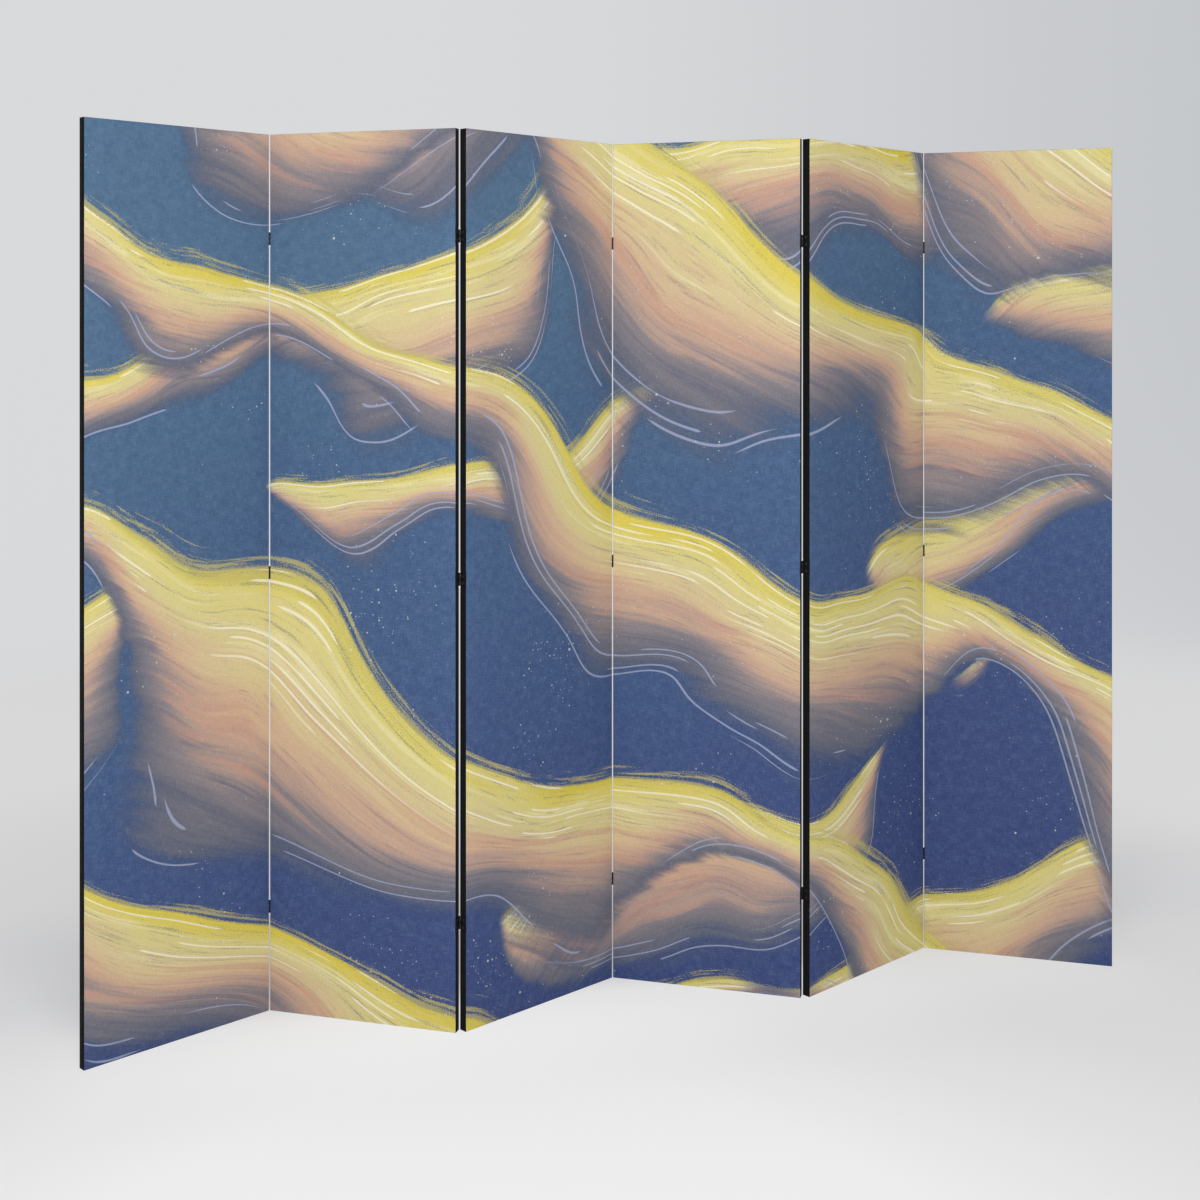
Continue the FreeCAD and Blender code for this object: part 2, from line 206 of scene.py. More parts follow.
# %% A finish's patterns and colours
class Finish(Graph):
    """A material with its graph."""

    def __init__(self, name, roughness, shine):
        self.material = bpy.data.materials.new(name)
        self.material.use_nodes = True
        super().__init__(self.material.node_tree)
        self.shader = self.tree.nodes["Principled BSDF"]
        self.shader.inputs["Roughness"].default_value = roughness
        self.shader.inputs["Specular IOR Level"].default_value = shine

    def object_place(self, turn=0.0, scale=(1, 1, 1)):
        """The point on the object in metres, turned about the upright and scaled."""
        point = self.node("TexCoord", {}).outputs["Object"]
        inputs = {"Vector": point, "Rotation": (0, 0, turn), "Scale": scale}
        return self.node("Mapping", inputs).outputs[0]

    def cloth_place(self):
        """The point on the flat cloth in metres, from its own map."""
        return self.node("UVMap", {}, uv_map="cloth").outputs["UV"]

    def noise(self, place, scale=1.0, detail=2.0, roughness=0.5, output="Fac"):
        inputs = {"Vector": place, "Scale": scale, "Detail": detail, "Roughness": roughness}
        return self.node("TexNoise", inputs).outputs[output]

    def rise(self, value, low, high, start=0.0, end=1.0):
        """A smooth step from start at low to end at high."""
        inputs = {"Value": value, "From Min": low, "From Max": high, "To Min": start, "To Max": end}
        return self.node("MapRange", inputs, interpolation_type="SMOOTHSTEP").outputs[0]

    def mix(self, share, first, second, blend="MIX"):
        """That share of the second colour over the first. Inputs 6 and 7 are the node's colours."""
        inputs = {"Factor": share, 6: first, 7: second}
        made = self.node("Mix", inputs, data_type="RGBA", blend_type=blend, clamp_factor=True)
        return made.outputs[2]

    def mix_number(self, share, first, second):
        return self.node("Mix", {"Factor": share, 2: first, 3: second}, data_type="FLOAT").outputs[0]

    def ramp(self, value, stops):
        """A row of colours over 0 to 1."""
        made = self.node("ValToRGB", {"Fac": value})
        row = made.color_ramp.elements
        while len(row) < len(stops):
            row.new(1)
        for element, (position, colour) in zip(row, stops):
            element.position = position
            element.color = colour
        return made.outputs["Color"]

    def colour(self, value):
        self.give(self.shader.inputs["Base Color"], value)

    def bump(self, height, depth):
        inputs = {"Height": height, "Distance": depth, "Strength": 1.0}
        self.give(self.shader.inputs["Normal"], self.node("Bump", inputs).outputs[0])


print("materials so far, the solids' own:", len(bpy.data.materials))

# %% [markdown]
# ## The studio's paint
# The screen was pictured in a pale studio, bright on the floor before it and darker at the walls.
# More lamps could make those tones, but they would light the screen as well. So the paint shows
# the camera its own tones, as a glow that lights nothing: a painted pool of light on the floor
# before the screen, a ring of painted shadow round the screen, and painted shade on the wall,
# darker to the right. It lets a share of the real light and shadow through: little at the
# screen's feet, where painted light covers most of the real shadow, and more behind it.

# %% Studio paint: the tones
# how far from the middle of the painted pool of light, as a share of the reach, and the grey that
# shows there: painted light near the middle, and a dip of painted shadow round 0.3
PAINTED_FLOOR_LIGHT_TONES = [
    (0.0, 250),
    (0.1, 249),
    (0.16, 234),
    (0.22, 223),
    (0.3, 216),
    (0.4, 219),
    (0.5, 226),
    (1.0, 223),
]
PAINTED_LIGHT_POOL_MIDDLE = (-0.4, -0.9, 0)
TONE_REACH = 6.0
# the wall is painted darker towards the right, as painted shade where the lamp's light falls off
PAINTED_WALL_LIGHT = paint(220, 221, 223)
PAINTED_WALL_SHADE = paint(194, 197, 201)
CLIMB_WEIGHT = 1.5

studio = Finish("studio_paint", roughness=0.9, shine=0.0)
studio.colour(paint(243, 243, 244))
studio_place = studio.object_place()
studio_x, studio_y, studio_z = studio.parts(studio_place)
away = studio.vector("DISTANCE", studio_place, PAINTED_LIGHT_POOL_MIDDLE)
tones = [(share, paint(tone, tone, tone)) for share, tone in PAINTED_FLOOR_LIGHT_TONES]
# the floor's painted pool of light and its ring of painted shadow
painted_floor_light = studio.ramp(studio.math("DIVIDE", away, TONE_REACH), tones)
painted_wall_shading = studio.mix(studio.rise(studio_x, low=0.4, high=6.4), PAINTED_WALL_LIGHT, PAINTED_WALL_SHADE)
from_middle = studio.vector("LENGTH", studio.vector("MULTIPLY", studio_place, (1, 1, 0)), (0, 0, 0))
out_and_up = studio.math("MULTIPLY_ADD", studio_z, CLIMB_WEIGHT, from_middle)
climb = studio.rise(out_and_up, low=3.3, high=4.9)
print("floor tones:", [tone for _, tone in PAINTED_FLOOR_LIGHT_TONES])

# %% Studio paint: how much of it is glow
WALL_SHARE = 0.9
aside = studio.math("ABSOLUTE", studio_x)
# more glow at the screen's front feet, so painted light covers most of the real contact shadow there
painted_light_at_feet = studio.times(
    studio.rise(aside, low=1.15, high=0.95, end=0.28),
    studio.rise(studio_y, low=-0.38, high=-0.06),
    studio.rise(studio_y, low=0.12, high=0.0),
)
behind = studio.times(
    studio.rise(studio_y, low=0.0, high=0.25, end=0.25),
    studio.rise(studio_y, low=0.85, high=0.45),
    studio.rise(aside, low=2.2, high=1.2),
)
floor_share = studio.rise(away, low=0.7, high=2.4, start=0.55, end=0.75)
floor_share = studio.less(studio.math("ADD", floor_share, painted_light_at_feet), behind)
rays = studio.node("LightPath", {}).outputs
looked_at = studio.math("MAXIMUM", rays["Is Camera Ray"], rays["Is Glossy Ray"])
looked_at = studio.math("MAXIMUM", looked_at, rays["Is Transmission Ray"])
glow_share = studio.times(looked_at, studio.mix_number(climb, floor_share, WALL_SHARE))
glow = studio.node("Emission", {"Color": studio.mix(climb, painted_floor_light, painted_wall_shading)}).outputs[0]
blend = studio.node("MixShader", {0: glow_share, 1: studio.shader.outputs[0], 2: glow}).outputs[0]
studio.give(studio.tree.nodes["Material Output"].inputs["Surface"], blend)
print("studio paint:", len(studio.tree.nodes), "nodes")

# %% [markdown]
# ## Floor and backdrop
# The studio's floor curves up into its wall, so no horizon shows. A plane for each would leave a
# corner, so one curved line is turned round the screen instead. The backdrop is hidden from
# diffuse and shadow rays, so the even sky light still reaches the screen from all sides.

# %% Floor
FLOOR_RADIUS = 5.0
ROUND_STEPS = 96


def stage_piece(name, shape):
    """Spins the shape's line of edges round the upright axis and adds it as stage."""
    outline = shape.verts[:] + shape.edges[:]
    bmesh.ops.spin(shape, geom=outline, angle=math.tau, steps=ROUND_STEPS, axis=(0, 0, 1), use_merge=True)
    bmesh.ops.remove_doubles(shape, verts=shape.verts, dist=0.1 * MM)
    mesh = bpy.data.meshes.new(name)
    shape.to_mesh(mesh)
    shape.free()
    mesh.materials.append(studio.material)
    mesh.shade_smooth()
    piece = bpy.data.objects.new(name, mesh)
    scene.collection.objects.link(piece)
    return piece


line = bmesh.new()
middle = line.verts.new((0, 0, 0))
rim = line.verts.new((FLOOR_RADIUS, 0, 0))
line.edges.new((middle, rim))
stage_piece("floor", line)
print("floor:", 2 * FLOOR_RADIUS, "m across")

# %% Backdrop
CURVE_RADIUS = 2.2
CURVE_STEPS = 16
WALL_TOP = 7.0

line = bmesh.new()
foot = line.verts.new((FLOOR_RADIUS, 0, 0))
bend = {"cent": (FLOOR_RADIUS, 0, CURVE_RADIUS), "axis": (0, -1, 0), "angle": QUARTER_TURN}
bmesh.ops.spin(line, geom=[foot], steps=CURVE_STEPS, **bend)
shoulder = max(line.verts, key=lambda corner: corner.co.z)
top = line.verts.new((shoulder.co.x, 0, WALL_TOP))
line.edges.new((shoulder, top))
backdrop = stage_piece("backdrop", line)
backdrop.visible_diffuse = False
backdrop.visible_shadow = False
print("backdrop:", len(backdrop.data.polygons), "faces")

# %% [markdown]
# ## Light
# All shadows in the picture are soft, and the panels that face the camera are a little brighter
# than the others. A ring of lamps could do it, but an even sky and one large soft lamp near the
# camera are enough: the lamp gives a good half of the light, and the sky gives the rest.

# %% Light
SKY_COLOUR = paint(250, 251, 255)
SKY_STRENGTH = 0.50
LAMP_PLACE = Vector((-0.85, -3.3, 2.3))
LAMP_TARGET = Vector((-0.3, 0, 0.85))
LAMP_WATTS = 86
LAMP_SIZE = (2.4, 1.8)

world = bpy.data.worlds.new("studio_sky")
world.use_nodes = True
world.node_tree.nodes["Background"].inputs["Color"].default_value = SKY_COLOUR
world.node_tree.nodes["Background"].inputs["Strength"].default_value = SKY_STRENGTH
scene.world = world

lamp_data = bpy.data.lights.new("softbox", "AREA")
lamp_data.shape = "RECTANGLE"
lamp_data.size, lamp_data.size_y = LAMP_SIZE
lamp_data.energy = LAMP_WATTS
lamp = bpy.data.objects.new("softbox", lamp_data)
scene.collection.objects.link(lamp)
lamp.location = LAMP_PLACE
lamp.rotation_euler = (LAMP_TARGET - LAMP_PLACE).to_track_quat("-Z", "Y").to_euler()
print("softbox:", LAMP_WATTS, "W at", [round(x, 2) for x in LAMP_PLACE])

# %% [markdown]
# ## The printed design
# The print runs across all six panels like one wall picture. It is a marbled design: broad
# ribbons of paint drift down across a deep blue ground, each with a sharp gold edge that fades
# through pale yellow, peach and mauve back to blue. Such a print could be an image, but a
# graph of noises has no pixels, so it stays sharp however near the camera comes.
#
# The graph works like marbling itself. First the flat cloth is bent by slow noise, then the bent
# place is measured across the ribbons (how deep below an edge) and along them, and every
# colour, brush streak and drawn line is placed with those two measures.

# %% Marbled print: bending the cloth
SLOW_BEND = (0.6, 0.6, 0)
QUICK_BEND = (0.20, 0.17, 0)

ink = Finish("printed_canvas", roughness=0.78, shine=0.22)
flat_place = ink.cloth_place()
flat_x, flat_y, _ = ink.parts(flat_place)
chalk = ink.less(ink.noise(flat_place, scale=420.0, detail=2.0, roughness=0.7), 0.5)


def bent(place, scale, reach):
    """The place pushed about by noise, by up to half of reach either way."""
    push = ink.noise(place, scale, detail=1.0, output="Color")
    push = ink.vector("SUBTRACT", push, (0.5, 0.5, 0.5))
    return ink.vector("ADD", place, ink.vector("MULTIPLY", push, reach))


def streaks(along, over, seed, length, thinness, detail):
    """Noise drawn out along the ribbons, as a loaded brush leaves it."""
    stretched = ink.join(ink.times(along, length), ink.times(over, thinness), seed)
    return ink.noise(stretched, detail=detail, roughness=0.62)


print("slow bends reach", SLOW_BEND[0] / 2, "m and quick ones", QUICK_BEND[0] / 2, "m")

# %% [markdown]
# ### The blue ground
# The ground is a deep blue, paler and greener towards the top left, and mottled as paper is that
# has soaked up its paint. A plain colour would look like plastic, so a slow noise moves the
# blues about, and a fine one adds pale and dark spots.

# %% Marbled print: the blue ground
GROUND_COLOURS = [
    (0.0, paint(54, 70, 121)),
    (0.3, paint(59, 80, 126)),
    (0.65, paint(65, 93, 130)),
    (1.0, paint(75, 106, 135)),
]
GROUND_SLOPE = -0.22
DRIFT_REACH = 0.6
up_the_screen = ink.math("MULTIPLY_ADD", flat_x, GROUND_SLOPE, flat_y)
drift = ink.math("MULTIPLY_ADD", ink.noise(flat_place, scale=1.3), DRIFT_REACH, up_the_screen)
ground = ink.ramp(ink.rise(drift, low=-0.9, high=1.0), GROUND_COLOURS)
mottle = ink.noise(flat_place, scale=45.0, detail=6.0, roughness=0.85)
pale_spots = ink.rise(mottle, low=0.45, high=0.75, end=0.30)
dark_spots = ink.rise(mottle, low=0.28, high=0.55, start=0.26, end=0.0)
ground = ink.mix(pale_spots, ground, paint(104, 126, 158))
ground = ink.mix(dark_spots, ground, paint(40, 52, 92))
print("ground colours:", len(GROUND_COLOURS))

# %% [markdown]
# ### Measuring the ribbons
# Ribbons lie one below the other, a pitch apart. Each could be a drawn shape, but its brush
# streaks have to follow its bends, and a shape can't tell a shader which way it runs. The bent
# place can. Its distance across is counted in pitches: the whole number says which ribbon it
# is, and the rest says how high it lies in that ribbon's room. A noise gives each its width.

# %% Marbled print: measuring a family of ribbons
EDGE_WEAR_SHARE = 0.042
WANDER_SCALE = 1.2
RIBBON_STEP = 7.3
LEAST_WIDTH_SHARE = 0.02
CHALK_IN_HAIRS = 0.7


def ribbon_width(along, salt, seed, thin, thick):
    """How thick a ribbon is there, as a share of the pitch. Its salt makes it wander alone."""
    wander = ink.noise(ink.join(along, salt, seed), WANDER_SCALE, detail=1.0)
    return ink.rise(wander, 0.32, 0.68, thin, thick)


def measured(place, slope, pitch, seed, thin, thick):
    """What is known of a family of ribbons at a place. Along and over run with the ribbons and
    across them, each ribbon has its number, and depth is 0 at its upper edge and 1 at its foot."""
    over = ink.vector("DOT_PRODUCT", place, (-math.sin(slope), math.cos(slope), 0))
    along = ink.vector("DOT_PRODUCT", place, (math.cos(slope), math.sin(slope), 0))
    across = ink.math("DIVIDE", over, pitch)
    hairs = streaks(along, over, seed, length=9.0, thinness=160.0, detail=3.0)
    rough = ink.math("ADD", ink.less(hairs, 0.5), chalk)
    ragged = ink.math("MULTIPLY_ADD", rough, EDGE_WEAR_SHARE, across)
    number = ink.math("FLOOR", ragged)
    height = ink.math("FRACT", ragged)
    width = ribbon_width(along, ink.times(number, RIBBON_STEP), seed, thin, thick)
    width = ink.math("MAXIMUM", width, LEAST_WIDTH_SHARE)
    salt_below = ink.math("MULTIPLY_ADD", number, RIBBON_STEP, -RIBBON_STEP)
    return SimpleNamespace(
        along=along,
        over=over,
        across=across,
        pitch=pitch,
        seed=seed,
        number=number,
        height=height,
        width=width,
        width_below=ribbon_width(along, salt_below, seed, thin, thick),
        depth=ink.math("DIVIDE", ink.less(1.0, height), width),
        there=ink.rise(width, low=0.03, high=0.14),
        grainy=ink.math("MULTIPLY_ADD", chalk, CHALK_IN_HAIRS, hairs),
    )


print("a ribbon's edge is ragged by up to", EDGE_WEAR_SHARE, "of the pitch")

# %% [markdown]
# ### Painting a ribbon
# A loaded brush lays gold along the upper edge and softer colours below it. Its hairs pull the
# colours along, add strokes of lighter and darker paint, and scratch through to the blue. A
# smooth ramp of colours alone would look airbrushed, so the depth that picks the colour is
# itself pulled about by streaks.

# %% Marbled print: a ribbon's colours
RIBBON_COLOURS = [
    (0.00, paint(198, 186, 100)),
    (0.04, paint(214, 200, 106)),
    (0.12, paint(216, 204, 130)),
    (0.27, paint(212, 198, 141)),
    (0.39, paint(210, 186, 144)),
    (0.50, paint(201, 166, 140)),
    (0.60, paint(176, 150, 137)),
    (0.69, paint(136, 127, 130)),
    (0.84, paint(106, 107, 119)),
    (1.00, paint(74, 86, 112)),
]
GOLD = paint(216, 196, 58)
SCRATCH_COLOUR = paint(78, 92, 116)
# depths that the strokes keep between, how rare they are, how they are drawn out, and their colour
STROKES = (
    (0.02, 0.42, 0.53, 3.1, 50.0, paint(231, 222, 176)),
    (0.22, 0.80, 0.53, 1.8, 28.0, paint(196, 150, 130)),
    (0.55, 1.00, 0.56, 2.2, 44.0, paint(96, 99, 118)),
)
print("ribbon colours:", len(RIBBON_COLOURS), "and kinds of stroke:", len(STROKES))

# %% Marbled print: a ribbon's body
BROAD_SEED = 0.5
BROAD_PULL = 0.36
CHALK_PULL = 0.30
GILDING_SCALE = 1.4
STROKE_SEED = 2.3
STROKE_BLUR = 0.08
STROKE_COVER = 0.5
FADE_IN = 0.1
FADE_OUT = 0.2


def with_body(under, ribbon):
    """Paints the ribbon's colours by depth, pulled about by the brush, over what is there."""
    along, over, depth = ribbon.along, ribbon.over, ribbon.depth
    broad = streaks(along, over, ribbon.seed + BROAD_SEED, length=2.4, thinness=32.0, detail=4.0)
    pulled = ink.math("MULTIPLY_ADD", ink.less(broad, 0.5), BROAD_PULL, depth)
    pulled = ink.math("MULTIPLY_ADD", chalk, CHALK_PULL, pulled)
    body = ink.ramp(pulled, RIBBON_COLOURS)
    gilded = ink.noise(ink.join(ink.times(along, GILDING_SCALE), ribbon.number, ribbon.seed))
    at_edge = ink.rise(depth, low=0.20, high=0.03, end=0.7)
    body = ink.mix(ink.times(ink.rise(gilded, low=0.46, high=0.66), at_edge), body, GOLD)
    for number, (near, far, bar, length, thinness, colour) in enumerate(STROKES):
        seed = ribbon.seed + STROKE_SEED + number
        drawn = streaks(along, over, seed, length, thinness, detail=3.0)
        stroke = ink.rise(drawn, low=bar, high=bar + STROKE_BLUR)
        begun = ink.rise(depth, low=near, high=near + FADE_IN)
        not_over = ink.rise(depth, low=far, high=far - FADE_OUT)
        body = ink.mix(ink.times(stroke, ink.times(begun, not_over), STROKE_COVER), body, colour)
    scratch = ink.rise(ribbon.grainy, low=0.40, high=0.32)
    scratch = ink.times(scratch, ink.rise(depth, low=0.8, high=0.1, start=0.2, end=0.5))
    body = ink.mix(scratch, body, SCRATCH_COLOUR)
    cover = ink.times(ribbon.there, ink.rise(pulled, low=1.10, high=0.86))
    return ink.mix(cover, under, body)


print("a stroke covers the body by up to", STROKE_COVER)

# %% Marbled print: dry brush
DRY_COLOUR = paint(190, 180, 108)


def with_dry_brush(painted, ribbon):
    """Adds hairs that stray over the edge of the ribbon below, until that one has ended."""
    reach = ink.rise(ribbon.height, low=0.0, high=0.13, start=0.46, end=0.84)
    dry = ink.rise(ink.less(ribbon.grainy, reach), low=0.0, high=0.08, end=0.7)
    dry = ink.times(dry, ink.rise(ribbon.width_below, low=0.06, high=0.20))
    return ink.mix(dry, painted, DRY_COLOUR)


print("dry brush:", [round(level, 2) for level in DRY_COLOUR])

# %% [markdown]
# ### Pen lines
# Fine pale lines follow each ribbon's upper edge, and grey-blue ones lie along its foot. They
# could be curves laid on the cloth, but there are dozens. The distance from an edge gives them
# all at once: it is cut into rows, a row's middle is a line, and a noise lets it fade in and out.

# %% Marbled print: pen lines
SWAY_SCALE = 1.7
SWAY_ROWS = 3.0
LIFE_SCALE = 3.4
ROW_STEP = 5.31
NUMBER_STEP = 17.7
FOOT_SEED = 9.1
SHADY_COVER = 0.75
LINE_PITCH = 15 * MM
LINE_HALF = 1.9 * MM
LINE_BLUR = 0.5 * MM
FOOT_BAND_MIDDLE = -25 * MM
FOOT_BAND_HALF = 38 * MM
PALE_LINE = paint(238, 231, 204)
SHADY_LINE = paint(158, 166, 194)


def drawn_lines(distance, ribbon, seed):
    """Pen lines in rows that follow an edge, each row alive only here and there."""
    along, number = ribbon.along, ribbon.number
    sway = ink.noise(ink.join(ink.times(along, SWAY_SCALE), seed, number), detail=1.0)
    rows = ink.math("MULTIPLY_ADD", sway, SWAY_ROWS, ink.math("DIVIDE", distance, LINE_PITCH))
    number_salt = ink.times(number, NUMBER_STEP)
    row_salt = ink.math("MULTIPLY_ADD", ink.math("FLOOR", rows), ROW_STEP, number_salt)
    life = ink.noise(ink.join(ink.times(along, LIFE_SCALE), row_salt, seed), detail=1.0)
    half = ink.rise(life, low=0.54, high=0.57, start=-LINE_BLUR, end=LINE_HALF)
    off_line = ink.math("ABSOLUTE", ink.less(ink.math("FRACT", rows), 0.5))
    inside = ink.math("MULTIPLY_ADD", off_line, -LINE_PITCH, half)
    return ink.rise(inside, -LINE_BLUR, LINE_BLUR)


def with_pen_lines(painted, ribbon):
    """Adds pale lines under the upper edge and grey-blue ones along the foot."""
    calm_height = ink.less(ribbon.across, ribbon.number)
    from_edge = ink.times(ink.less(1.0, calm_height), ribbon.pitch)
    from_foot = ink.math("MULTIPLY_ADD", ribbon.width, -ribbon.pitch, from_edge)
    near_edge = ink.rise(ribbon.depth, low=0.40, high=0.30, end=0.85)
    pale = ink.times(drawn_lines(from_edge, ribbon, ribbon.seed), ribbon.there, near_edge)
    painted = ink.mix(pale, painted, PALE_LINE)
    near_foot = ink.math("COMPARE", from_foot, FOOT_BAND_MIDDLE, FOOT_BAND_HALF)
    foot_lines = drawn_lines(from_foot, ribbon, ribbon.seed + FOOT_SEED)
    shady = ink.times(foot_lines, ribbon.there, near_foot, SHADY_COVER)
    return ink.mix(shady, painted, SHADY_LINE)


print("pen lines:", round(2 * LINE_HALF / MM, 1), "mm wide, in rows", round(LINE_PITCH / MM), "mm apart")

# %% [markdown]
# ### Two families
# One family of ribbons alone would look like stripes. So a second one is painted over the first
# at another slope and bent in another way, and the first one's ribbons come and go.


# %% Marbled print: two families of ribbons
def with_ribbons(under, start, slow_scale, quick_scale, **family):
    """Paints one family of ribbons, bent in its own way, over what is already there."""
    place = ink.vector("ADD", flat_place, start)
    place = bent(bent(place, slow_scale, SLOW_BEND), quick_scale, QUICK_BEND)
    ribbon = measured(place, **family)
    return with_pen_lines(with_dry_brush(with_body(under, ribbon), ribbon), ribbon)


# where thin is below 0 a ribbon ends for a while
rising = {"slope": math.radians(16), "pitch": 0.42, "seed": 4.2, "thin": -0.25, "thick": 0.85}
falling = {"slope": math.radians(-26), "pitch": 0.56, "seed": 1.7, "thin": 0.15, "thick": 0.80}
painted = with_ribbons(ground, (11.7, 3.3, 1.9), slow_scale=1.2, quick_scale=3.0, **rising)
painted = with_ribbons(painted, (3.7, 1.9, 0.6), slow_scale=0.95, quick_scale=2.6, **falling)
print("ribbons:", falling["pitch"], "m apart over ribbons", rising["pitch"], "m apart")

# %% [markdown]
# ### Spatter
# Tiny pale drops lie over all, as a flicked brush leaves them, crowded in some places and rare in
# others. Scattered discs would be thousands of faces, so a cell pattern gives each drop its
# room, and the cell's random level decides whether it is there and how large it is.

# %% Marbled print: spatter
# drops in a metre, and a drop's radius as a share of the room that it has
DROPS = ((85.0, 0.28), (170.0, 0.36))
DROP_CORE = 0.6
DROP_COVER = 0.75
DROP_COLOUR = paint(204, 212, 210)
crowd = ink.rise(ink.noise(flat_place, scale=3.4), low=0.42, high=0.7, start=0.975, end=0.82)
for drops_per_metre, radius_share in DROPS:
    inputs = {"Vector": flat_place, "Scale": drops_per_metre}
    drops = ink.node("TexVoronoi", inputs, voronoi_dimensions="2D").outputs
    chosen = ink.math("GREATER_THAN", drops["Color"], crowd)
    radius = ink.times(ink.rise(drops["Color"], crowd, 1.0, start=0.4), radius_share)
    drop = ink.rise(drops["Distance"], low=radius, high=ink.times(radius, DROP_CORE))
    painted = ink.mix(ink.times(chosen, drop, DROP_COVER), painted, DROP_COLOUR)
print("drops in a metre:", [count for count, _ in DROPS])

# %% [markdown]
# ### Weave, and painted shade at the rim
# The threads of the canvas show close by as a fine cross pattern, in the relief, and in the colour
# as painted shade in the hollows and a painted highlight on the crowns.
# A hair of near-black painted shade shows all round each print, where the cloth turns over the
# frame's edge. It could be a strip of its own, but it is thinner than the cloth, so it is a dark
# line painted in the print.

# %% Marbled print: weave and painted shade at the rim
HALF_WIDTH = PANEL_WIDTH / 2
HALF_HEIGHT = PANEL_HEIGHT / 2
SIDE_EDGE_SHADE_WIDTH = 0.35 * MM
END_EDGE_SHADE_WIDTH = 0.2 * MM
ACROSS_THREADS = (60, 900, 1)
UP_THREADS = (900, 60, 1)
across_threads = ink.noise(ink.vector("MULTIPLY", flat_place, ACROSS_THREADS), roughness=0.6)
up_threads = ink.noise(ink.vector("MULTIPLY", flat_place, UP_THREADS), roughness=0.6)
threads = ink.math("ADD", across_threads, up_threads)
# painted shade in the hollows between threads and a painted highlight on their crowns
painted_hollow_shade = ink.rise(threads, low=0.8, high=1.2, start=0.07, end=0.0)
crowns = ink.rise(threads, low=0.95, high=1.3, end=0.06)
painted = ink.mix(painted_hollow_shade, painted, paint(60, 62, 80), "MULTIPLY")
painted = ink.mix(crowns, painted, paint(235, 235, 230))
pitches_over = ink.math("FRACT", ink.math("MULTIPLY_ADD", flat_x, 1 / PANEL_PITCH, 0.5))
from_centre = ink.math("ABSOLUTE", ink.less(pitches_over, 0.5))
# a near-black line of painted shade round the print's edges, where the cloth turns over the arris
side_edge_shade = ink.math("GREATER_THAN", from_centre, (HALF_WIDTH - SIDE_EDGE_SHADE_WIDTH) / PANEL_PITCH)
up_or_down = ink.math("ABSOLUTE", flat_y)
end_edge_shade = ink.math("COMPARE", up_or_down, HALF_HEIGHT + END_EDGE_SHADE_WIDTH, 2 * END_EDGE_SHADE_WIDTH)
painted = ink.mix(ink.math("MAXIMUM", side_edge_shade, end_edge_shade), painted, paint(24, 24, 25))
ink.colour(painted)
ink.bump(threads, 0.2 * MM)
print("print:", len(ink.tree.nodes), "nodes")

# %% [markdown]
# ## Shaping cloths and other small pieces
# Every new piece of the screen starts as a box, a cone or a strip, and is then cut, rounded and
# bent. Blender has an operator for each of these, and these helpers name the few that are needed
# again and again, so that a piece's own function reads like the steps of its making.


# %% Helpers for shapes
def faces_facing(shape, way, flat=0.999):
    """The faces whose outside faces that way."""
    shape.normal_update()
    return [face for face in shape.faces if face.normal.dot(Vector(way)) > flat]


def edges_where(shape, test):
    """The edges both of whose ends pass the test."""
    return [edge for edge in shape.edges if all(test(corner.co) for corner in edge.verts)]


def cut_across(shape, way, places):
    """Cuts the shape through at each place along that way, so that it can bend there."""
    for place in places:
        everything = shape.verts[:] + shape.edges[:] + shape.faces[:]
        bmesh.ops.bisect_plane(shape, geom=everything, plane_co=Vector(way) * place, plane_no=way)


def steps_between(low, high, pitch):
    """Evenly spaced places from low to high, without the two ends."""
    count = max(2, round((high - low) / pitch))
    return [low + (high - low) * step / count for step in range(1, count)]


def box_shape(width, front, back, height):
    """A box in a panel's own frame."""
    shape = bmesh.new()
    bmesh.ops.create_cube(shape, size=1)
    bmesh.ops.scale(shape, vec=(width, back - front, height), verts=shape.verts)
    bmesh.ops.translate(shape, vec=(0, (front + back) / 2, 0), verts=shape.verts)
    return shape


def round_edges(shape, edges, radius, segments=4):
    """Rounds these edges. The profile and the material are what the editor would take."""
    rounding = {"offset": radius, "segments": segments, "profile": 0.5, "affect": "EDGES", "material": -1}
    bmesh.ops.bevel(shape, geom=edges, **rounding)


print("steps from 0 to 1 m, 0.3 m apart:", [round(step, 2) for step in steps_between(0, 1, 0.3)])

# %% [markdown]
# ### A finished piece
# A finished shape becomes an object. Its place could be the object's own, but then a pattern on
# it would differ from the solids', whose objects all sit at the origin. So the shape itself is
# stood in its place. Cloth is made as a thin skin and gets its thickness last.


# %% Adding a piece
def add_piece(name, shape, place, finish, panel, thickness=0):
    """Stands a shape in its place and adds it as a piece that moves with its panel."""
    shape.transform(place)
    mesh = bpy.data.meshes.new(name)
    shape.to_mesh(mesh)
    shape.free()
    mesh.materials.append(finish.material)
    piece = bpy.data.objects.new(name, mesh)
    scene.collection.objects.link(piece)
    if thickness:
        thicken = piece.modifiers.new("thickness", "SOLIDIFY")
        thicken.thickness = thickness
        thicken.offset = -1
    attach(piece, f"panel_{panel}")
    return piece


print("cloth is", round(CLOTH / MM, 1), "mm thick")

# %% [markdown]
# ## How the cloths lie
# Cloth that is stapled tight still moves a little. Between the battens it dips, because nothing
# backs it, and at the long edges it stands half a millimetre full of the frame. A hinge presses
# it in again. A cloth simulation could find such small moves, but they follow from where the
# battens and hinges are, so each point is moved by rule.

# %% Dips between the battens
STILE_WIDTH = 40 * MM
END_RAIL = 40 * MM
HALF_MID_RAIL = 22.5 * MM


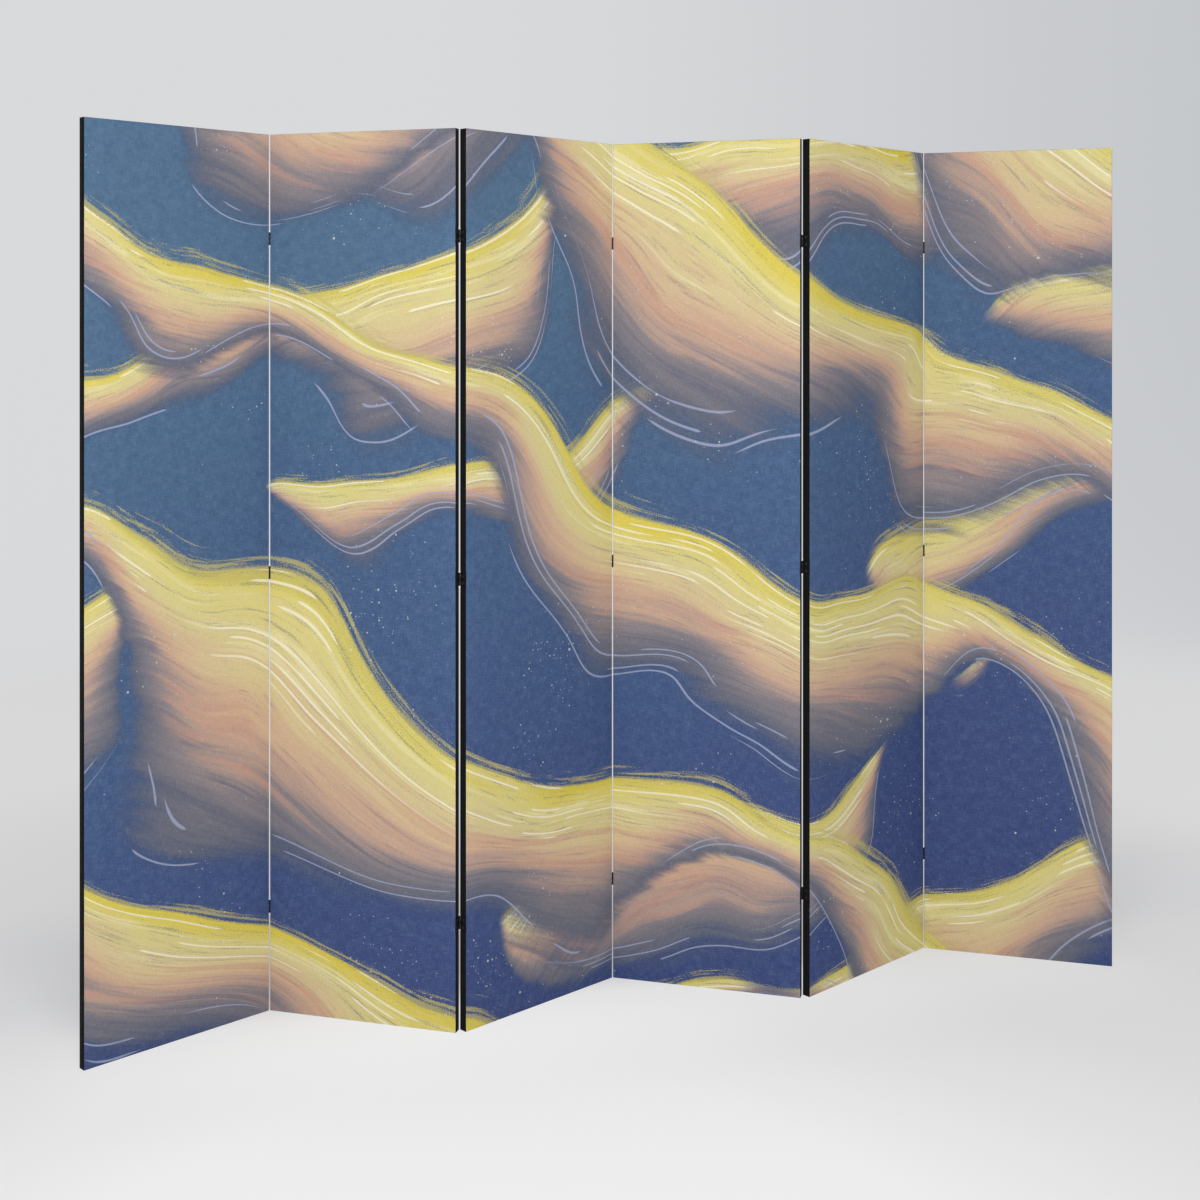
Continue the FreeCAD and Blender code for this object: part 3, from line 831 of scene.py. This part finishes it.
def sag_share(x, z):
    """How freely the cloth hangs at a point: 0 on the battens and 1 in the middle of an opening."""
    half_opening = HALF_WIDTH - STILE_WIDTH
    low, high = HALF_MID_RAIL, HALF_HEIGHT - END_RAIL
    beside = 1 - min(1, abs(x) / half_opening) ** 2
    above = (abs(z) - (low + high) / 2) / ((high - low) / 2)
    return beside * (1 - above ** 4) if abs(above) < 1 else 0


print("openings:", round((PANEL_WIDTH - 2 * STILE_WIDTH) / MM, 1), "mm wide")

# %% Full edges
ARRIS = CLOTH
NEARLY = 0.2 * MM
EDGE_FULLNESS = 0.5 * MM
FULLNESS_RISE = 5 * MM
HINGE_ROOM = 1 * MM
HINGE_HEIGHT = 25 * MM
HINGE_INSET = 202 * MM
HINGE_HEIGHTS = [-HALF_HEIGHT + HINGE_INSET, 0, HALF_HEIGHT - HINGE_INSET]


def fill_edges(cloth, panel):
    """Moves the cloth at both long edges out to its fullness, except where a hinge presses it."""
    for corner in cloth.verts:
        x, z = corner.co.x, corner.co.z
        if abs(x) < HALF_WIDTH - ARRIS - NEARLY:
            continue
        hinged = panel < PANELS if x > 0 else panel > 1
        share = 1
        if hinged:
            to_hinge = min(abs(z - height) for height in HINGE_HEIGHTS) - HINGE_HEIGHT / 2 - HINGE_ROOM
            share = max(0, min(1, to_hinge / FULLNESS_RISE))
        corner.co.x += math.copysign(EDGE_FULLNESS * share, x)


def places_near_hinges():
    """Heights at which a cloth is cut across, so that it can bend beside a hinge."""
    pressed = HINGE_HEIGHT / 2 + HINGE_ROOM
    steps = (pressed, -pressed, pressed + FULLNESS_RISE, -pressed - FULLNESS_RISE)
    return [height + step for height in HINGE_HEIGHTS for step in steps]


print("cuts near hinges:", len(places_near_hinges()))

# %% [markdown]
# ## The canvases
# A canvas print is one sheet. It lies over the frame's front, its long edges end at the frame's
# rounded arrises, and its ends turn over the top and bottom battens and down on to the back,
# where staples hold them under the lining. It could be cut and wrapped flat by flat, but a box
# already has the wrapped shape: bevel its front edges, open its sides and back, and only the
# sheet is left. The sheet's map keeps the place on the flat cloth in metres, so the print runs
# on round the ends and from panel to panel.

# %% Canvas: tucked edges and turned-in ends
CANVAS_BACK = 17.0 * MM
TURN_IN = 25 * MM
TURN_RADIUS = 0.8 * MM
TURN_SEGMENTS = 2
TUCK_START = ARRIS + 0.6 * MM
TUCKED_HALF = HALF_WIDTH - CLOTH - 0.1 * MM


def tuck_ends(cloth):
    """Narrows the cloth behind the front arris, so that the lining's edges cover it."""
    cut_across(cloth, (0, 1, 0), [TUCK_START])
    for corner in cloth.verts:
        if corner.co.y > TUCK_START - NEARLY:
            corner.co.x = math.copysign(min(abs(corner.co.x), TUCKED_HALF), corner.co.x)


def turn_in(cloth, way):
    """Turns the end of the cloth, the upper one if way is 1, down on to the frame's back."""

    def at_back(co):
        return co.y > CANVAS_BACK - NEARLY and co.z * way > 0

    def at_fold(co):
        return co.y > CANVAS_BACK - NEARLY and co.z * way > HALF_HEIGHT - NEARLY

    back_edge = edges_where(cloth, at_back)
    flap = bmesh.ops.extrude_edge_only(cloth, edges=back_edge)["geom"]
    hem = [item for item in flap if isinstance(item, bmesh.types.BMVert)]
    bmesh.ops.translate(cloth, vec=(0, 0, -way * TURN_IN), verts=hem)
    round_edges(cloth, edges_where(cloth, at_fold), TURN_RADIUS, TURN_SEGMENTS)


print("turned-in cloth:", round(TURN_IN / MM), "mm at each end")

# %% Canvas: its map on the flat cloth
NEAR_END = 5 * MM


def up_the_cloth(y, z):
    """How far up the flat cloth a point of the canvas lies. Near an end it runs on round the end
    as far as the fold at the back. The hem, which the lining hides, keeps its own height."""
    if abs(z) < HALF_HEIGHT - NEAR_END:
        return z
    distance = abs(z) + y
    if y > CANVAS_BACK - MM:
        distance = HALF_HEIGHT + CANVAS_BACK + HALF_HEIGHT - abs(z)
    return math.copysign(distance, z)


def map_canvas(cloth, panel):
    """Gives the canvas its map on the whole screen's cloth, whose middle is panel 1's middle."""
    cloth_map = cloth.loops.layers.uv.new("cloth")
    start = (panel - 1) * PANEL_PITCH
    for face in cloth.faces:
        for loop in face.loops:
            x, y, z = loop.vert.co
            loop[cloth_map].uv = (start + x, up_the_cloth(y, z))


print("the end's back edge lies", round(up_the_cloth(CANVAS_BACK, HALF_HEIGHT), 3), "m up the cloth")

# %% Canvas shape
CANVAS_SAG = 0.5 * MM
GRID = 40 * MM
TOUCHING = 0.01 * MM


def canvas_shape(panel):
    """The canvas of one panel in its own frame, with its map on the whole screen's cloth."""
    cloth = box_shape(PANEL_WIDTH, 0, CANVAS_BACK, PANEL_HEIGHT)
    round_edges(cloth, faces_facing(cloth, (0, -1, 0))[0].edges[:], ARRIS)
    for way in ((1, 0, 0), (-1, 0, 0), (0, 1, 0)):
        bmesh.ops.delete(cloth, geom=faces_facing(cloth, way), context="FACES")
    tuck_ends(cloth)
    turn_in(cloth, 1)
    turn_in(cloth, -1)
    cut_across(cloth, (1, 0, 0), steps_between(-HALF_WIDTH, HALF_WIDTH, GRID))
    cut_across(cloth, (0, 0, 1), steps_between(-HALF_HEIGHT, HALF_HEIGHT, GRID) + places_near_hinges())
    map_canvas(cloth, panel)
    for corner in cloth.verts:
        if corner.co.y < TOUCHING:
            corner.co.y += CANVAS_SAG * sag_share(corner.co.x, corner.co.z)
    fill_edges(cloth, panel)
    return cloth


print("the canvas dips by", round(CANVAS_SAG / MM, 1), "mm in the middle of an opening")

for panel in range(1, PANELS + 1):
    name = f"panel_{panel}"
    shape = canvas_shape(panel)
    canvas = add_piece(f"{name}_print", shape, place_of(panel), ink, panel, CLOTH)
    canvas.data.shade_smooth()
    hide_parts(f"{name}_canvas")
print("canvases:", PANELS, "of", len(canvas.data.polygons), "faces")

# %% [markdown]
# ## The linings
# Plain black cloth covers each panel's back and is carried round both long edges to the print,
# which is why the screen's edges look black from the front. It is the same box trick with the
# other faces kept. Every staple pulls a small dimple into it.

# %% Black cloth
THREADS = 320.0
SLUB_STRETCH = (30, 400, 1)

lining_finish = Finish("black_lining", roughness=0.92, shine=0.08)
lining_finish.shader.inputs["Sheen Weight"].default_value = 0.06
lining_place = lining_finish.cloth_place()
bands = {"Vector": lining_place, "Scale": THREADS, "Distortion": 0.6}
weave_across = lining_finish.node("TexWave", bands, bands_direction="X").outputs["Fac"]
weave_up = lining_finish.node("TexWave", bands, bands_direction="Y").outputs["Fac"]
weave = lining_finish.times(weave_across, weave_up)
# slubs are the thicker places in a thread
slubs = lining_finish.noise(lining_finish.vector("MULTIPLY", lining_place, SLUB_STRETCH))
dust = lining_finish.noise(lining_place, scale=14.0, detail=4.0, roughness=0.65)
slub_share = lining_finish.rise(slubs, low=0.4, high=0.7)
dust_share = lining_finish.rise(dust, low=0.5, high=0.8, end=0.5)
# the hollows of the weave are painted nearly black, as painted shade
painted_weave_shade = lining_finish.rise(weave, low=0.0, high=0.6, start=0.45, end=0.0)
black = lining_finish.mix(slub_share, paint(20, 20, 21), paint(28, 28, 29))
black = lining_finish.mix(dust_share, black, paint(37, 37, 39))
lining_finish.colour(lining_finish.mix(painted_weave_shade, black, paint(6, 6, 7)))
lining_finish.bump(weave, 0.12 * MM)
print("black cloth:", len(lining_finish.tree.nodes), "nodes")

# %% Lining: its dips
LINING_DIP = 1.2 * MM
STAPLES = 7
STAPLE_PITCH = 54 * MM
STAPLE_INSET = 9 * MM
DIMPLE = 0.3 * MM
DIMPLE_RADIUS = 9 * MM


def staple_places():
    """Where the staples sit on a panel's back, in its own frame."""
    row = [(number - (STAPLES - 1) / 2) * STAPLE_PITCH for number in range(STAPLES)]
    end = HALF_HEIGHT - STAPLE_INSET
    return [(x, z) for z in (-end, end) for x in row]


def lining_dip(x, z):
    """How deep the lining lies at a point of the back, between battens and at staples."""
    dip = LINING_DIP * sag_share(x, z)
    for staple_x, staple_z in staple_places():
        away = math.hypot(x - staple_x, z - staple_z) / DIMPLE_RADIUS
        dip += DIMPLE * max(0, 1 - away ** 2) ** 2
    return dip


print("staples in a panel:", len(staple_places()))

# %% Lining shape
LINING_ARRIS = CLOTH + 0.1 * MM
LINING_GRID = 13.5 * MM
NEAR_END_STEP = 4 * MM
NEAR_END_STEPS = (1, 2, 3, 4, 6, 9)


def lining_shape(panel):
    """The lining of one panel in its own frame."""
    cloth = box_shape(PANEL_WIDTH, ARRIS, PANEL_BACK, PANEL_HEIGHT)
    for way in ((0, -1, 0), (0, 0, 1), (0, 0, -1)):
        bmesh.ops.delete(cloth, geom=faces_facing(cloth, way), context="FACES")
    round_edges(cloth, [edge for edge in cloth.edges if not edge.is_boundary], LINING_ARRIS)
    cut_across(cloth, (1, 0, 0), steps_between(-HALF_WIDTH + ARRIS, HALF_WIDTH - ARRIS, LINING_GRID))
    near_top = [HALF_HEIGHT - NEAR_END_STEP * step for step in NEAR_END_STEPS]
    near_ends = near_top + [-z for z in near_top]
    levels = steps_between(-HALF_HEIGHT, HALF_HEIGHT, GRID) + near_ends + places_near_hinges()
    cut_across(cloth, (0, 0, 1), levels)
    cloth_map = cloth.loops.layers.uv.new("cloth")
    for face in cloth.faces:
        for loop in face.loops:
            x, y, z = loop.vert.co
            loop[cloth_map].uv = (x + math.copysign(PANEL_BACK - y, x), z)
    for corner in cloth.verts:
        if corner.co.y > PANEL_BACK - TOUCHING:
            corner.co.y -= lining_dip(corner.co.x, corner.co.z)
    fill_edges(cloth, panel)
    return cloth


print("the lining dips by", round(LINING_DIP / MM, 1), "mm in the middle of an opening")

for panel in range(1, PANELS + 1):
    name = f"panel_{panel}"
    shape = lining_shape(panel)
    place = place_of(panel)
    lining = add_piece(f"{name}_cloth_back", shape, place, lining_finish, panel, CLOTH)
    lining.data.shade_smooth()
    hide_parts(f"{name}_lining")
print("linings:", PANELS, "of", len(lining.data.polygons), "faces")

# %% [markdown]
# ## The staples
# A staple gun leaves a flat wire crown, 12 mm long, pressed into the cloth. The legs are out
# of sight in the wood, so only the crown is made: a box with its long edges rounded, drawn once
# and copied along both ends of every panel's back.

# %% Staples
CROWN = (12 * MM, 0.5 * MM, 1.1 * MM)
CROWN_ROUND = 0.2 * MM
CROWN_SUNK = DIMPLE + 0.05 * MM

staple_finish = Finish("staple_wire", roughness=0.38, shine=0.5)
staple_finish.shader.inputs["Metallic"].default_value = 1
rubs = staple_finish.noise(staple_finish.object_place(), scale=900.0, detail=3.0, roughness=0.6)
staple_finish.colour(staple_finish.mix(rubs, paint(120, 120, 122), paint(168, 168, 170)))


def staples_shape():
    """The crowns of all the staples of one panel, in its own frame."""
    crowns = bmesh.new()
    for x, z in staple_places():
        crown = bmesh.ops.create_cube(crowns, size=1)["verts"]
        bmesh.ops.scale(crowns, vec=CROWN, verts=crown)
        bmesh.ops.translate(crowns, vec=(x, PANEL_BACK - CROWN_SUNK, z), verts=crown)
    long_edges = [edge for edge in crowns.edges if edge.calc_length() > CROWN[0] / 2]
    round_edges(crowns, long_edges, CROWN_ROUND, segments=2)
    return crowns


for panel in range(1, PANELS + 1):
    name = f"panel_{panel}_staples"
    add_piece(name, staples_shape(), place_of(panel), staple_finish, panel)
print("staples:", len(staple_places()) * PANELS)

# %% [markdown]
# ## The battens
# The frames are planed softwood. Cloth hides them, but they are part of the screen, so they get
# their wood: growth rings stretched along the batten, which is upright in a stile and level in a
# rail. A rail's grain also turns with its panel, so there is one finish for each way it lies.

# %% Softwood
ALONG_GRAIN = 1.3
ACROSS_GRAIN = 26
RINGS = 7.0
FINER = (9, 9, 9)


def softwood(name, turn, stretch):
    """Pale planed softwood whose grain is stretched so, in a panel that is turned so."""
    wood = Finish(name, roughness=0.62, shine=0.3)
    place = wood.object_place(-turn, stretch)
    rings = wood.times(wood.noise(place, scale=2.2, detail=3.0, roughness=0.55), RINGS)
    fibres = wood.noise(wood.vector("MULTIPLY", place, FINER), scale=2.0, detail=3.0, roughness=0.6)
    late_wood = wood.rise(wood.math("FRACT", rings), low=0.2, high=0.95)
    fibre_share = wood.rise(fibres, low=0.35, high=0.7, end=0.3)
    pale = wood.mix(late_wood, paint(224, 196, 152), paint(190, 150, 102))
    wood.colour(wood.mix(fibre_share, pale, paint(168, 128, 86)))
    wood.bump(fibres, 0.1 * MM)
    return wood.material


print("the grain runs", ACROSS_GRAIN / ALONG_GRAIN, "times longer than wide")

# %% Battens
upright = (ACROSS_GRAIN, ACROSS_GRAIN, ALONG_GRAIN)
level = (ALONG_GRAIN, ACROSS_GRAIN, ACROSS_GRAIN)
stile_wood = softwood("softwood_upright", 0, upright)
rail_wood = {
    REST_TURN: softwood("softwood_odd_rails", REST_TURN, level),
    -REST_TURN: softwood("softwood_even_rails", -REST_TURN, level),
}
for panel in range(1, PANELS + 1):
    for batten in ("left_stile", "right_stile", "top_rail", "mid_rail", "bottom_rail"):
        node = frame["nodes"][f"panel_{panel}_{batten}"]
        node.data.materials.clear()
        node.data.materials.append(stile_wood if "stile" in batten else rail_wood[turn_of(panel)])
print("battens:", 5 * PANELS)

# %% [markdown]
# ## The hinges
# Each hinge is two black leaves and a pin. The knuckles could be tubes set against a plate, but
# a seam would show there. A real leaf is stamped from strip and its edge is rolled round the pin
# into knuckles, so that is how it is made here: the strip's end face is spun round the pin's
# axis. One leaf has the two end knuckles, the other has the middle one.

# %% Hinge enamel
hinge_finish = Finish("black_hinge_enamel", roughness=0.5, shine=0.3)
hinge_place = hinge_finish.object_place()
wear = hinge_finish.noise(hinge_place, scale=420.0, detail=4.0, roughness=0.65)
worn_share = hinge_finish.rise(wear, low=0.5, high=0.75)
worn_roughness = hinge_finish.rise(wear, low=0.3, high=0.8, start=0.42, end=0.62)
hinge_finish.colour(hinge_finish.mix(worn_share, paint(20, 20, 22), paint(36, 36, 38)))
hinge_finish.give(hinge_finish.shader.inputs["Roughness"], worn_roughness)
hinge_finish.bump(hinge_finish.noise(hinge_place, scale=1500.0), 0.03 * MM)
print("hinge enamel:", len(hinge_finish.tree.nodes), "nodes")

# %% Rolling a knuckle
PIN_OUTER = 1.5 * MM
PIN_INNER = 0.65 * MM
LEAF_OUTER = 1.5 * MM
ROLL_TURN = math.radians(300)
ROLL_STEPS = 20


def roll_knuckle(leaf, face):
    """Reaches from one end face of the strip to the pin and rolls it round the pin."""
    reach = bmesh.ops.extrude_discrete_faces(leaf, faces=[face])["faces"]
    for corner in reach[0].verts:
        corner.co.y = 0
        corner.co.x = -PIN_OUTER if corner.co.x < -LEAF_OUTER + NEARLY else -PIN_INNER
    bmesh.ops.spin(leaf, geom=reach, angle=ROLL_TURN, steps=ROLL_STEPS, axis=(0, 0, 1), cent=(0, 0, 0))
    # the face that was spun stays behind inside the roll, so it is taken out
    inside = [made for made in reach if made.is_valid]
    bmesh.ops.delete(leaf, geom=inside, context="FACES_ONLY")


print("a knuckle is", round(2 * PIN_OUTER / MM, 1), "mm thick, its bore", round(2 * PIN_INNER / MM, 1))

# %% Hinge leaf
LEAF_THICKNESS = 0.8 * MM
LEAF_WIDTH = 14 * MM
LEAF_CORNER = 1.5 * MM
KNUCKLE = HINGE_HEIGHT / 3
KNUCKLE_GAP = 0.15 * MM
NOTCH = 1.75 * MM


def leaf_shape(end_knuckles):
    """One leaf in the hinge's own frame: the pin's axis is Z and the strip is on its left."""
    leaf = bmesh.new()
    bmesh.ops.create_cube(leaf, size=1)
    bmesh.ops.scale(leaf, vec=(LEAF_THICKNESS, LEAF_WIDTH - NOTCH, HINGE_HEIGHT), verts=leaf.verts)
    middle = (-LEAF_OUTER + LEAF_THICKNESS / 2, (LEAF_WIDTH + NOTCH) / 2, 0)
    bmesh.ops.translate(leaf, vec=middle, verts=leaf.verts)
    free_edges = edges_where(leaf, lambda co: co.y > LEAF_WIDTH - NEARLY)
    free_corners = [edge for edge in free_edges if edge.calc_length() < 2 * LEAF_THICKNESS]
    round_edges(leaf, free_corners, LEAF_CORNER)
    cut = KNUCKLE / 2 + (KNUCKLE_GAP if end_knuckles else -KNUCKLE_GAP)
    cut_across(leaf, (0, 0, 1), [cut, -cut])
    for face in faces_facing(leaf, (0, -1, 0)):
        at_end = abs(face.calc_center_median().z) > KNUCKLE / 2
        if at_end == end_knuckles:
            roll_knuckle(leaf, face)
    bmesh.ops.remove_doubles(leaf, verts=leaf.verts, dist=0.001 * MM)
    bmesh.ops.recalc_face_normals(leaf, faces=leaf.faces)
    return leaf


print("knuckles:", round(KNUCKLE / MM, 2), "mm along the pin")

# %% [markdown]
# ## Pins and screws
# A plain rod with its ends eased holds the knuckles together, and two slotted countersunk screws
# of blackened steel hold each leaf. The screws could carry threads, but the wood hides those, so
# each is only its head: a short cone with the slot pushed into it.

# %% Pins
PIN_RADIUS = 0.6 * MM
PIN_SIDES = 16
PIN_EASE = 0.15 * MM

pin_finish = Finish("dark_pin_steel", roughness=0.32, shine=0.5)
pin_finish.shader.inputs["Metallic"].default_value = 1
drawn_marks = pin_finish.noise(pin_finish.object_place(scale=(1, 1, 0.1)), scale=2500.0)
pin_finish.colour(pin_finish.mix(drawn_marks, paint(84, 84, 87), paint(118, 118, 121)))


def pin_shape():
    """A pin with eased ends, as long as its hinge."""
    pin = bmesh.new()
    rod = {"radius1": PIN_RADIUS, "radius2": PIN_RADIUS, "depth": HINGE_HEIGHT}
    bmesh.ops.create_cone(pin, cap_ends=True, segments=PIN_SIDES, **rod)
    rims = [edge for edge in pin.edges if edge.calc_length() < PIN_RADIUS]
    round_edges(pin, rims, PIN_EASE, segments=2)
    return pin


print("pins:", round(2 * PIN_RADIUS / MM, 1), "mm thick")

# %% Screws
SCREW_SPACING = 14 * MM
SCREW_INSET = 5 * MM
SCREW_SIDES = 20
SHANK_RADIUS = 1.5 * MM
HEAD_RADIUS = 2.4 * MM
HEAD_DEPTH = 0.75 * MM
HEAD_PROUD = 0.06 * MM
SLOT_WIDTH = 0.56 * MM
SLOT_DEPTH = 0.35 * MM

screw_finish = Finish("black_screw", roughness=0.35, shine=0.5)
screw_finish.shader.inputs["Metallic"].default_value = 0.8
scratches = screw_finish.noise(screw_finish.object_place(), scale=1300.0, detail=3.0, roughness=0.6)
screw_finish.colour(screw_finish.mix(scratches, paint(78, 78, 81), paint(122, 122, 125)))


def screws_shape():
    """The heads of the two screws of one leaf, in the hinge's own frame."""
    screws = bmesh.new()
    x = -LEAF_OUTER + LEAF_THICKNESS / 2 + HEAD_PROUD
    y = LEAF_WIDTH - SCREW_INSET
    cone = {"radius1": SHANK_RADIUS, "radius2": HEAD_RADIUS, "depth": HEAD_DEPTH}
    for z in (-SCREW_SPACING / 2, SCREW_SPACING / 2):
        head = bmesh.ops.create_cone(screws, cap_ends=True, segments=SCREW_SIDES, **cone)["verts"]
        into_leaf = Matrix.Translation((x, y, z)) @ Matrix.Rotation(QUARTER_TURN, 4, "Y")
        bmesh.ops.transform(screws, matrix=into_leaf, verts=head)
    cut_across(screws, (0, 1, 0), [y - SLOT_WIDTH / 2, y + SLOT_WIDTH / 2])
    tops = faces_facing(screws, (1, 0, 0))
    slots = [face for face in tops if abs(face.calc_center_median().y - y) < SLOT_WIDTH / 2]
    sunk = bmesh.ops.extrude_discrete_faces(screws, faces=slots)["faces"]
    floor_corners = [corner for face in sunk for corner in face.verts]
    bmesh.ops.translate(screws, vec=(-SLOT_DEPTH, 0, 0), verts=floor_corners)
    return screws


print("screws:", round(2 * HEAD_RADIUS / MM, 1), "mm across")

# %% [markdown]
# ## Hanging the panels
# A fold's axis lies at the front faces where the fold points away from the viewer, and at the
# back faces where it points towards the viewer, so that every panel can swing right round
# against the next. Fifteen hinges could be placed by hand, but the record gives each axis, so a
# loop hangs them all. The right leaf is turned end over end, so that it reaches the other way,
# and at folds that open to the back, both leaves are turned over once more.


# %% A kind of piece at all three hinges
def at_every_height(shape):
    """The shape three times, at the heights of the fold's hinges."""
    whole = bmesh.new()
    mesh = bpy.data.meshes.new("scratch")
    shape.to_mesh(mesh)
    shape.free()
    for height in HINGE_HEIGHTS:
        before = set(whole.verts)
        whole.from_mesh(mesh)
        added = [corner for corner in whole.verts if corner not in before]
        bmesh.ops.translate(whole, vec=(0, 0, height), verts=added)
    bpy.data.meshes.remove(mesh)
    return whole


def hang(name, shape, place, finish, panel):
    """One kind of piece at all three hinges of a fold."""
    return add_piece(name, at_every_height(shape), place, finish, panel)


print("hinges stand at", [round(height, 3) for height in HINGE_HEIGHTS], "m from mid-height")

# %% Hinges in place
for fold in range(1, PANELS):
    joint = next(joint for joint in frame["joints"] if joint["name"] == f"fold_{fold}")
    opens_to_front = fold % 2 == 1
    turn_over = Matrix() if opens_to_front else Matrix.Rotation(math.pi, 4, "X")
    end_over_end = Matrix.Rotation(math.pi, 4, "Y")
    axis = Matrix.Translation(joint["pos_m"])
    left = axis @ Matrix.Rotation(turn_of(fold), 4, "Z") @ turn_over
    right = axis @ Matrix.Rotation(turn_of(fold + 1), 4, "Z") @ turn_over @ end_over_end
    for side, place, panel, ends in (("left", left, fold, True), ("right", right, fold + 1, False)):
        name = f"fold_{fold}_{side}"
        leaves = hang(f"{name}_hinge_leaves", leaf_shape(ends), place, hinge_finish, panel)
        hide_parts(f"{name}_leaves")
        hang(f"{name}_screws", screws_shape(), place, screw_finish, panel)
    pins = hang(f"fold_{fold}_hinge_pins", pin_shape(), left, pin_finish, fold)
    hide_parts(f"fold_{fold}_pins")
print("hinges:", len(HINGE_HEIGHTS) * (PANELS - 1))
